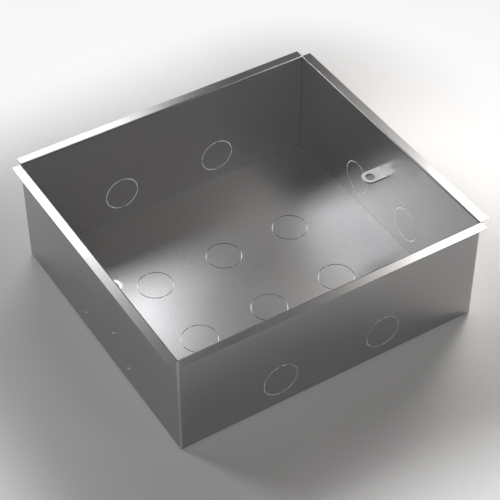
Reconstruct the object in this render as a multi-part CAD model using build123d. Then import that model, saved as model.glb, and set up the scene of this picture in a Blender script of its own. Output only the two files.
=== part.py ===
from build123d import *
import os

# A steel floor box: an open tray folded from sheet, with a rim of four
# outward flanges, ringed knockouts in its floor and walls, and an earthing
# lug welded inside each end wall. Millimetres, +Z up. The origin is the
# middle of the underside. X runs along the front wall and Y along the end walls.

# Tray
length = 230.0               # outside, from end wall to end wall
width = 213.0                # outside, from front wall to back wall
height = 84.0                # from the underside to the top of the flanges
sheet = 1.0                  # thickness of the steel
fold_inside = 0.2            # inside radius of every fold and upright corner
flange = 6.3                 # how far each flange stands out from its wall
flange_setback = 0.6         # from the tray's corner to the cut end of a flange

# Knockouts
knockout = 26.0              # hole that is left when a disc is knocked out
slot = 0.5                   # width of the slot round each disc
bridge = 1.0                 # width of the four bridges that hold each disc
floor_columns = 3
floor_pitch = 56.0           # between the floor's columns
floor_rows = 2
floor_row_gap = 60.5         # between the floor's rows
side_pitch = 80.0            # between the two discs of the front and back walls
end_pitch = 60.0             # between the two discs of each end wall
wall_disc_height = 22.5      # from the underside to the middle of a wall's disc

# Earthing lugs
lug_width = 12.0
lug_sheet = 1.2
lug_top = 50.3               # from the underside to the lug's upper face
lug_hole = 7.0               # clears the earthing screw
lug_hole_reach = 11.2        # from the wall's inner face to the middle of the hole

# Sizes that follow
fold_outside = fold_inside + sheet
wall_top = height - fold_outside
base = (Align.CENTER, Align.CENTER, Align.MIN)


def rounded_block(size_x, size_y, size_z, radius):
    """A block that stands on Z = 0, rounded below and at its upright edges."""
    block = Box(size_x, size_y, size_z, align=base)
    upright = block.edges().filter_by(Axis.Z)
    lowest = block.faces().sort_by(Axis.Z)[0].edges()
    return fillet(upright + lowest, radius)


def shell():
    """The floor and four walls, up to where the flanges are folded out."""
    outside = rounded_block(length, width, wall_top, fold_outside)
    inside = rounded_block(length - 2 * sheet, width - 2 * sheet, wall_top, fold_inside)
    return outside - Pos(0, 0, sheet) * inside


def folded_flange(wall_face, wall_run):
    """The fold and flange of the wall whose outer face is at X = wall_face."""
    fold_middle = wall_face + fold_inside
    tip = wall_face + flange
    under = height - sheet
    outline = [
        CenterArc((fold_middle, wall_top), fold_outside, 90, 90),
        Line((fold_middle, height), (tip, height)),
        Line((tip, height), (tip, under)),
        Line((tip, under), (fold_middle, under)),
        CenterArc((fold_middle, wall_top), fold_inside, 90, 90),
        Line((wall_face, wall_top), (wall_face - sheet, wall_top)),
    ]
    profile = make_face(Plane.XZ * (Curve() + outline))
    straight_run = wall_run - 2 * flange_setback
    return extrude(profile, straight_run / 2, both=True)


def flanges():
    """One flange on each wall, cut square so that its ends all but meet at the corners."""
    end_flange = folded_flange(length / 2, width)
    side_flange = folded_flange(width / 2, length)
    return [
        end_flange,
        Rot(0, 0, 180) * end_flange,
        Rot(0, 0, 90) * side_flange,
        Rot(0, 0, -90) * side_flange,
    ]


def knockout_places():
    """Where each disc's middle lies in the sheet, with Z across the sheet."""
    mid_sheet = sheet / 2
    floor = GridLocations(floor_pitch, floor_row_gap, floor_columns, floor_rows)
    places = [Pos(0, 0, mid_sheet) * spot for spot in floor]
    for side in (-1, 1):
        for step in (-0.5, 0.5):
            on_side = Pos(step * side_pitch, side * (width / 2 - mid_sheet), wall_disc_height)
            on_end = Pos(side * (length / 2 - mid_sheet), step * end_pitch, wall_disc_height)
            places.append(on_side * Rot(90, 0, 0))
            places.append(on_end * Rot(0, 90, 0))
    return places


def knockout_slots():
    """The four slots that free one disc, as cutters across a sheet at Z = 0."""
    ring = Circle(knockout / 2) - Circle(knockout / 2 - slot)
    bridges = Rectangle(2 * knockout, bridge) + Rectangle(bridge, 2 * knockout)
    return extrude(ring - bridges, sheet, both=True)


def tray():
    """The folded tray with its knockouts."""
    body = shell() + flanges()
    cutter = knockout_slots()
    return body - [place * cutter for place in knockout_places()]


def earth_lug(turn):
    """A flat tab with a round end, standing square on an end wall's inner face."""
    root = length / 2 - sheet
    hole_x = root - lug_hole_reach
    straight = Pos((hole_x + root) / 2, 0) * Rectangle(lug_hole_reach, lug_width)
    outline = straight + Pos(hole_x, 0) * Circle(lug_width / 2)
    outline -= Pos(hole_x, 0) * Circle(lug_hole / 2)
    lug = Pos(0, 0, lug_top - lug_sheet) * extrude(outline, lug_sheet)
    return Rot(0, 0, turn) * lug


os.makedirs("parts", exist_ok=True)
export_step(tray(), "parts/tray.step")
export_step(earth_lug(0), "parts/earth_lug_right.step")
export_step(earth_lug(180), "parts/earth_lug_left.step")
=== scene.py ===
import math

import bpy
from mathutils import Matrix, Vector

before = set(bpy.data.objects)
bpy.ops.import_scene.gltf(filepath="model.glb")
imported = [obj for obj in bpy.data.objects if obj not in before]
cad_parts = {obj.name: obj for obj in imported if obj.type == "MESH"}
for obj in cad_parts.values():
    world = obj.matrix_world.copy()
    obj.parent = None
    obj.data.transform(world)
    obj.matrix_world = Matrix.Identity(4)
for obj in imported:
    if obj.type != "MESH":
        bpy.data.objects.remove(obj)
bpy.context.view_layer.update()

# Sizes of the box, in metres. X runs along the front wall and Y along the end walls, both
# from the middle, and Z runs up from the underside.
END_WALL = 0.115      # outer face of an end wall
SIDE_WALL = 0.1065    # outer face of the front or back wall
MID_HEIGHT = 0.042    # half its height

# Bounds that tell its folds and cut edges apart, in metres from its middle.
CLEAR_OF_END_WALLS = 0.110    # along X, clear of the end walls and their folds
CLEAR_OF_SIDE_WALLS = 0.102   # along Y, clear of the front and back walls and their folds
CLEAR_OF_FLOOR = 0.0405       # along Z, clear of the floor, and of the rim as well
INSIDE_A_CORNER = 0.220       # X and Y added: less inside an upright corner, more outside


def colour(code):
    """Turns an sRGB hex colour into the linear one that shaders take."""
    parts = [int(code[i:i + 2], 16) / 255 for i in (0, 2, 4)]
    light = [c / 12.92 if c <= 0.04045 else ((c + 0.055) / 1.055) ** 2.4 for c in parts]
    return (*light, 1.0)


def add(tree, kind, links=(), **settings):
    """Adds a node, sets its fields and its sockets, and links other nodes' outputs to it.
    A socket is given as in_ and its name, or its number where the name isn't its own."""
    made = tree.nodes.new("ShaderNode" + kind)
    for name, value in settings.items():
        if name.startswith("in_"):
            socket = name[3:]
            socket = int(socket) if socket.isdigit() else socket.replace("_", " ")
            made.inputs[socket].default_value = value
        else:
            setattr(made, name, value)
    for socket, output in links:
        tree.links.new(output, made.inputs[socket])
    return made


def blank(name):
    """A new material and its node tree, with nothing in it."""
    material = bpy.data.materials.new(name)
    material.use_nodes = True
    material.node_tree.nodes.clear()
    return material, material.node_tree


# Camera: at the photograph's viewing angle, a long lens from the front left.
lens = bpy.data.cameras.new("camera")
lens.lens = 116.74
lens.sensor_width = 36.0
camera = bpy.data.objects.new("camera", lens)
camera.location = (-0.4244, -0.6862, 0.8039)
camera.rotation_euler = [math.radians(a) for a in (46.2359, 0.0693, -31.9892)]
bpy.context.scene.collection.objects.link(camera)
bpy.context.scene.camera = camera
bpy.context.scene.view_settings.view_transform = "Standard"


# Steel sheet, cold rolled and skin passed to a satin finish.
# The rolls leave a fine, even grain without direction, so reflections are wide and soft.
# Handling leaves faint duller smears. The folds are painted darker, most at the rim:
# painted shade, which also dims their highlight. Shearing burnishes the cut edges, and the
# walls' slots are painted brighter still, a painted highlight, as is the outside of the
# upright corners. The floor's slots and the inside of the upright corners are painted dark:
# painted shade.
def satin_steel(name, flat, burnish_and_highlight, painted_rim_shade="808080", painted_floor_fold_shade="9a9a9a",
                painted_corner_highlight="cccccc", painted_shade="585858", roughness=0.36):
    material, tree = blank(name)
    source = add(tree, "TexCoord")
    place = source.outputs["Object"]

    # The real grain is about 0.1 mm, too fine to show: it is drawn at 0.8 mm.
    grain_mm = 0.8
    grain = add(tree, "TexNoise", [("Vector", place)],
                in_Scale=1000 / grain_mm, in_Detail=2.0).outputs[0]
    # Smears left by handling, 30 to 60 mm across.
    smear_mm = 45.0
    smear = add(tree, "TexNoise", [("Vector", place)],
                in_Scale=1000 / smear_mm, in_Detail=3.0).outputs[0]

    # Flat faces lie square to the axes. Folds and cut edges turn away from them: 2 degrees
    # is still flat, and from 8 degrees on it is all edge.
    still_flat, all_edge = 0.9995, 0.9900
    turned = add(tree, "VectorMath", [(0, source.outputs["Normal"])], operation="ABSOLUTE")
    parts = add(tree, "SeparateXYZ", [(0, turned.outputs[0])])
    across = add(tree, "Math", [
        (0, parts.outputs["X"]),
        (1, parts.outputs["Y"]),
    ], operation="MAXIMUM")
    square = add(tree, "Math", [
        (0, across.outputs[0]),
        (1, parts.outputs["Z"]),
    ], operation="MAXIMUM")
    edge = add(tree, "MapRange", [("Value", square.outputs[0])],
               interpolation_type="SMOOTHSTEP",
               in_From_Min=still_flat, in_From_Max=all_edge, in_To_Min=0.0, in_To_Max=1.0)

    # Where a bend or cut edge lies tells what it is. Each test that its place passes adds to
    # a score: 0.24 at most at the rim's folds, 0.30 at the floor's, 0.35 outside an upright
    # corner, 0.39 inside it, 0.50 at the floor's slots, 0.59 at the walls' and 0.79 at a lug.
    centred = add(tree, "VectorMath", [(0, place)], operation="SUBTRACT",
                  in_1=(0.0, 0.0, MID_HEIGHT))
    height = add(tree, "SeparateXYZ", [(0, centred.outputs[0])])
    spans = add(tree, "VectorMath", [(0, centred.outputs[0])], operation="ABSOLUTE")
    reach = add(tree, "SeparateXYZ", [(0, spans.outputs[0])])
    both_ways = add(tree, "Math", [(0, reach.outputs["X"]), (1, reach.outputs["Y"])])
    score = []
    for measure, limit, gain in (
        (reach.outputs["X"], CLEAR_OF_END_WALLS, 0.20),
        (reach.outputs["Y"], CLEAR_OF_SIDE_WALLS, 0.20),
        (reach.outputs["Z"], CLEAR_OF_FLOOR, 0.35),
        (both_ways.outputs[0], INSIDE_A_CORNER, 0.04),
        (height.outputs["Z"], -CLEAR_OF_FLOOR, 0.06),
    ):
        passed = add(tree, "Math", [(0, measure)], operation="LESS_THAN", in_1=limit)
        total = add(tree, "Math", [(0, passed.outputs[0])] + score,
                    operation="MULTIPLY_ADD", in_1=gain, in_2=0.0)
        score = [(2, total.outputs[0])]

    # Each tone starts halfway between two scores.
    edge_tone = add(tree, "ValToRGB", [(0, total.outputs[0])])
    stops = edge_tone.color_ramp
    stops.interpolation = "CONSTANT"
    stops.elements.remove(stops.elements[1])
    # Painted shade: the rim's folds are painted darker, which also dims their highlight.
    stops.elements[0].color = colour(painted_rim_shade)
    for start, code in (
        # Painted shade: the floor's folds are painted darker.
        (0.25, painted_floor_fold_shade),
        # Painted highlight: the outside of the upright corners is painted brighter.
        (0.325, painted_corner_highlight),
        # Painted shade: the floor's slots and the inside of the upright corners are painted
        # dark.
        (0.37, painted_shade),
        # Burnished cut edges; the walls' slots are painted brighter still, a painted
        # highlight.
        (0.545, burnish_and_highlight),
    ):
        stops.elements.new(start).color = colour(code)
    steel_tone = add(tree, "MixRGB", [
        (0, edge.outputs[0]),
        (2, edge_tone.outputs[0]),
    ], in_1=colour(flat))

    # The grain varies the tone and, a little, the roughness and the surface's height. The
    # smears vary the roughness alone.
    grain_tints, grain_dulls, smear_dulls = 0.26, 0.02, 0.10
    tint = add(tree, "MapRange", [("Value", grain)],
               in_To_Min=1 - grain_tints, in_To_Max=1 + grain_tints)
    tone = add(tree, "VectorMath", [
        (0, steel_tone.outputs[0]),
        ("Scale", tint.outputs[0]),
    ], operation="SCALE")
    smeared = add(tree, "Math", [(0, smear)], operation="MULTIPLY_ADD",
                  in_1=smear_dulls, in_2=roughness - smear_dulls / 2)
    rough = add(tree, "Math", [
        (0, grain),
        (2, smeared.outputs[0]),
    ], operation="MULTIPLY_ADD", in_1=grain_dulls)
    bump = add(tree, "Bump", [("Height", grain)], in_Strength=0.12, in_Distance=0.0001)
    steel = add(tree, "BsdfPrincipled", [
        ("Base Color", tone.outputs[0]),
        ("Roughness", rough.outputs[0]),
        ("Normal", bump.outputs[0]),
    ], in_Metallic=1.0)
    add(tree, "OutputMaterial", [("Surface", steel.outputs[0])])
    return material


tray_steel = satin_steel("cold rolled steel sheet, satin", "b4b4b4", "f0f0f0")
lug_steel = satin_steel("steel strip, satin, welded in", "b6b6b6", "cccccc")
for name, object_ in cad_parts.items():
    for slot in object_.material_slots:
        slot.material = tray_steel if name == "tray" else lug_steel


# Floor: a plain, pale, matt board.
BOARD_SHADED = 0.06   # how far from the box's walls the board keeps its shadow
BOARD_WHITE = 0.18    # how far from them it first has its full share of white


def pale_board(name, near, far):
    """A board that shows a share of plain white to the camera and in reflections. The
    share is near up to BOARD_SHADED from the box's walls and rises to far at BOARD_WHITE."""
    material, tree = blank(name)
    matt = add(tree, "BsdfDiffuse", in_Color=colour("eaeaea"))
    white = add(tree, "Emission", in_Strength=1.0)
    path = add(tree, "LightPath")
    seen = add(tree, "Math", [
        (0, path.outputs["Is Camera Ray"]),
        (1, path.outputs["Is Glossy Ray"]),
    ], operation="MAXIMUM")
    shown = add(tree, "Math", [
        (0, seen.outputs[0]),
        (1, path.outputs["Is Transmission Ray"]),
    ], operation="MAXIMUM")

    place = add(tree, "TexCoord").outputs["Object"]
    folded = add(tree, "VectorMath", [(0, place)], operation="ABSOLUTE")
    beyond = add(tree, "VectorMath", [(0, folded.outputs[0])], operation="SUBTRACT",
                 in_1=(END_WALL, SIDE_WALL, 0.0))
    outside = add(tree, "VectorMath", [(0, beyond.outputs[0])], operation="MAXIMUM")
    away = add(tree, "VectorMath", [(0, outside.outputs[0])], operation="LENGTH")
    lift = add(tree, "MapRange", [("Value", away.outputs["Value"])],
               interpolation_type="SMOOTHSTEP", in_From_Min=BOARD_SHADED,
               in_From_Max=BOARD_WHITE, in_To_Min=near, in_To_Max=far)
    share = add(tree, "Math", [
        (0, shown.outputs[0]),
        (1, lift.outputs[0]),
    ], operation="MULTIPLY")
    mix = add(tree, "MixShader", [
        (0, share.outputs[0]),
        (1, matt.outputs[0]),
        (2, white.outputs[0]),
    ])
    add(tree, "OutputMaterial", [("Surface", mix.outputs[0])])
    return material


def lay(name, width, depth, level, material):
    """Lays a flat board, level with the ground, below the box."""
    bpy.ops.object.select_all(action="DESELECT")
    bpy.ops.mesh.primitive_plane_add(size=1.0, location=(0, 0, level))
    made = bpy.context.object
    made.scale = (width, depth, 1.0)
    bpy.ops.object.transform_apply(location=True, rotation=True, scale=True)
    made.name = name
    made.data.materials.append(material)


board = pale_board("matt white board", 0.02, 0.90)
FLOOR_SIDE = 12.0
lay("floor", FLOOR_SIDE, FLOOR_SIDE, -0.0002, board)
# Painted light: under the box the board glows plain white, where the box's shadow would lie,
# so its knockouts' slots show light.
TUCKED_IN = 0.005     # how much smaller that piece is than the box, each way
glowing_board_under_box = pale_board("board below the slots, glowing white", 1.0, 1.0)
lay("floor_under_box", 2 * END_WALL - TUCKED_IN, 2 * SIDE_WALL - TUCKED_IN, -0.0001, glowing_board_under_box)

# Backdrop: a low round wall of the same board, far off, so low views end in it.
BACKDROP_HEIGHT = 1.6
bpy.ops.object.select_all(action="DESELECT")
bpy.ops.mesh.primitive_cylinder_add(
    vertices=96, radius=5.0, depth=BACKDROP_HEIGHT, end_fill_type="NOTHING",
    location=(0, 0, BACKDROP_HEIGHT / 2))
backdrop = bpy.context.object
backdrop.name = "backdrop"
backdrop.data.materials.append(board)

# World: dark, as in a studio with black walls.
world = bpy.data.worlds.new("world")
world.use_nodes = True
surroundings = world.node_tree.nodes["Background"].inputs
surroundings["Color"].default_value = (1, 1, 1, 1)
surroundings["Strength"].default_value = 0.01
bpy.context.scene.world = world

AIM = Vector((0, 0, 0.05))    # what the lamps face, near the middle of the box


def softbox(name, turn, rise, away, width, height, strength, tint):
    """A soft lamp that faces the box. Turn is in degrees from the back wall's side towards
    the right end, rise is above the floor, and strength is that of its lit face."""
    turn, rise = math.radians(turn), math.radians(rise)
    arm = Vector((
        math.sin(turn) * math.cos(rise),
        math.cos(turn) * math.cos(rise),
        math.sin(rise),
    ))
    lamp = bpy.data.lights.new(name, "AREA")
    lamp.shape = "RECTANGLE"
    lamp.size = width
    lamp.size_y = height
    lamp.color = colour(tint)[:3]
    lamp.energy = strength * math.pi * width * height
    made = bpy.data.objects.new(name, lamp)
    made.location = AIM + away * arm
    made.rotation_euler = arm.to_track_quat("Z", "Y").to_euler()
    made.visible_camera = False
    bpy.context.scene.collection.objects.link(made)


# Lamps: turn and rise in degrees, then distance, width and height in metres.
softbox("key, behind", -3, 42, 0.32, 0.14, 0.08, 7.9, "fbfcff")
softbox("key, right end", 85, 31.5, 0.32, 0.10, 0.23, 8.5, "fffaf6")
softbox("strip, right end", 75, 43, 0.32, 0.30, 0.07, 1.6, "fffaf6")
softbox("back left", -36, 44, 1.40, 0.26, 0.26, 14.3, "fcfdff")
softbox("fill, front left", -148, 37, 1.40, 0.26, 0.20, 17.8, "fffdfb")
softbox("fill, front right", 156, 48, 1.06, 0.30, 0.22, 2.1, "fffaf6")
